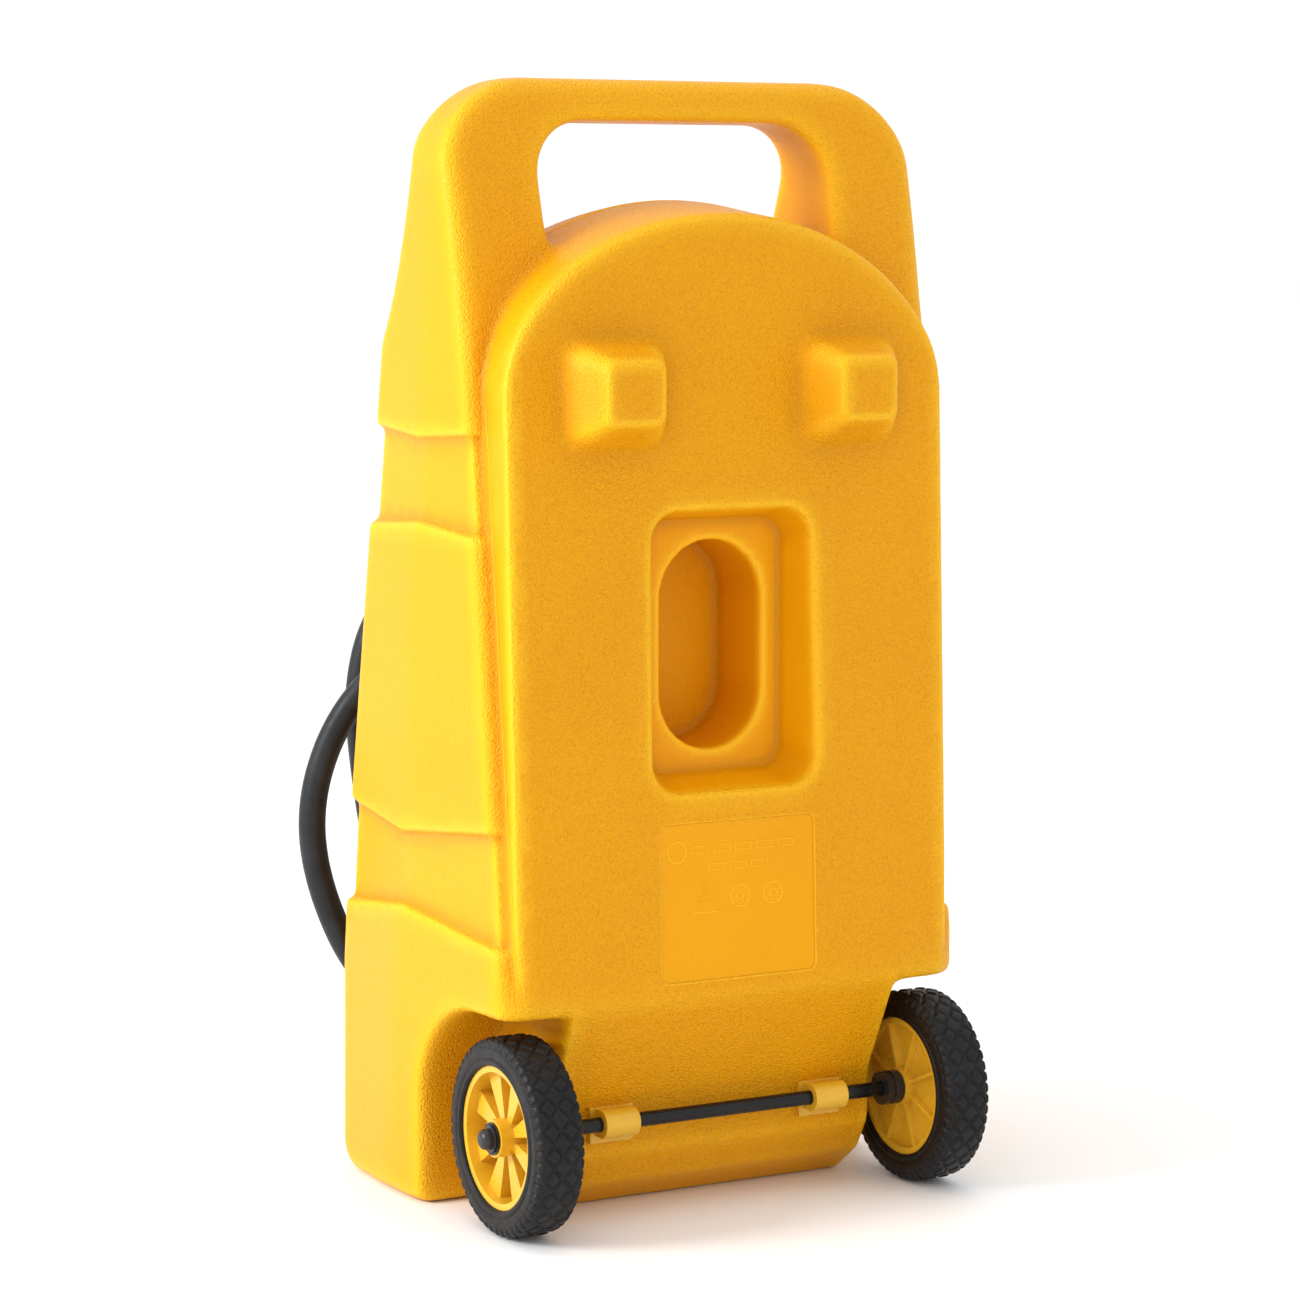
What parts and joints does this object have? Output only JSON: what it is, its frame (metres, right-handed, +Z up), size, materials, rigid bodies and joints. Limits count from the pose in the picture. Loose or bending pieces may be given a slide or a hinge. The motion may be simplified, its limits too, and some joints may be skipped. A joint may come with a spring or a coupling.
{
  "type": "wheeled fuel caddy",
  "caption": "Wheeled blow-moulded fuel caddy with a tow handle, bottom valve, hose and stored hand pump.",
  "frame": {"origin": "on the ground in the tank's base, on the symmetry plane, below the rear edge of the handle's bar", "axes": "+X towards the left wheel, +Y to the rear where the wheels are, +Z up"},
  "size_m": [0.4498, 0.4268, 0.911],
  "materials": {
    "tank_plastic": "blow-moulded polyethylene, fine grain",
    "clip_plastic": "smooth moulded plastic",
    "tyre_rubber": "solid rubber, block tread",
    "hose_rubber": "matte fuel hose",
    "seal_rubber": "nitrile rubber",
    "black_plastic": "moulded black plastic",
    "black_metal": "black coated steel",
    "steel": "zinc plated steel",
    "brass": "machined brass",
    "chrome": "polished ball",
    "red_plastic": "moulded red plastic",
    "white_plastic": "natural nylon",
    "grey_plastic": "extruded dark plastic"
  },
  "bodies": {
    "tank": {"axle": "black_metal", "axle_clip_left": "clip_plastic", "axle_clip_right": "clip_plastic", "axle_collar_left": "black_plastic", "axle_collar_right": "black_plastic", "hose": "hose_rubber", "hose_clamps": "steel", "hose_hook": "black_plastic", "hose_tail": "black_plastic", "hub_cap_left": "black_plastic", "hub_cap_right": "black_plastic", "hub_washer_left": "black_metal", "hub_washer_right": "black_metal", "inlet_flap": "seal_rubber", "outlet_elbow": "black_plastic", "outlet_flap": "seal_rubber", "outlet_gasket": "seal_rubber", "outlet_nut": "black_plastic", "outlet_strainer": "white_plastic", "pump_barrel": "grey_plastic", "pump_clip_lower": "black_plastic", "pump_clip_upper": "black_plastic", "pump_foot": "black_plastic", "pump_gland": "black_plastic", "pump_port": "black_plastic", "pump_spout": "black_plastic", "tank_shell": "tank_plastic", "valve_body": "brass", "vent_seal": "seal_rubber"},
    "wheel_left": {"tyre_left": "tyre_rubber", "rim_left": "clip_plastic", "wheel_bush_left": "white_plastic"},
    "wheel_right": {"tyre_right": "tyre_rubber", "rim_right": "clip_plastic", "wheel_bush_right": "white_plastic"},
    "plunger": {"pump_rod": "steel", "pump_piston": "white_plastic", "piston_ring": "seal_rubber", "pump_handle": "black_plastic"},
    "valve_core": {"valve_ball": "chrome", "valve_stem": "brass", "valve_lever": "red_plastic", "lever_screw": "steel"},
    "gasket": {"cap_gasket": "seal_rubber"},
    "cap": {"filler_cap": "black_plastic"},
    "vent": {"vent_knob": "black_plastic"}
  },
  "joints": [
    {"name": "wheel_left_spin", "type": "hinge", "parent": "tank", "child": "wheel_left", "pos_m": [0.1895, 0.0886, 0.08], "axis": [1, 0, 0], "continuous": true},
    {"name": "wheel_right_spin", "type": "hinge", "parent": "tank", "child": "wheel_right", "pos_m": [-0.1895, 0.0886, 0.08], "axis": [1, 0, 0], "continuous": true},
    {"name": "pump_stroke", "type": "slide", "parent": "tank", "child": "plunger", "axis": [0, 0.1794, 0.9838], "range_m": [0, 0.088]},
    {"name": "valve_turn", "type": "hinge", "parent": "tank", "child": "valve_core", "pos_m": [0, -0.212, 0.105], "axis": [0, -1, 0], "range_deg": [0, 90]},
    {"name": "cap_lift", "type": "slide", "parent": "tank", "child": "gasket", "axis": [0, -0.7974, 0.6034], "range_m": [0, 0.0061]},
    {"name": "cap_turn", "type": "hinge", "parent": "gasket", "child": "cap", "pos_m": [-0.087, -0.06852, 0.74417], "axis": [0, -0.7974, 0.6034], "range_deg": [0, 540]},
    {"name": "vent_turn", "type": "hinge", "parent": "tank", "child": "vent", "pos_m": [0.087, -0.06852, 0.74417], "axis": [0, -0.7974, 0.6034], "range_deg": [0, 360]}
  ],
  "couplings": [
    {"joint": "cap_lift", "follows": "cap_turn", "m_per_rad": 0.00063662}
  ]
}
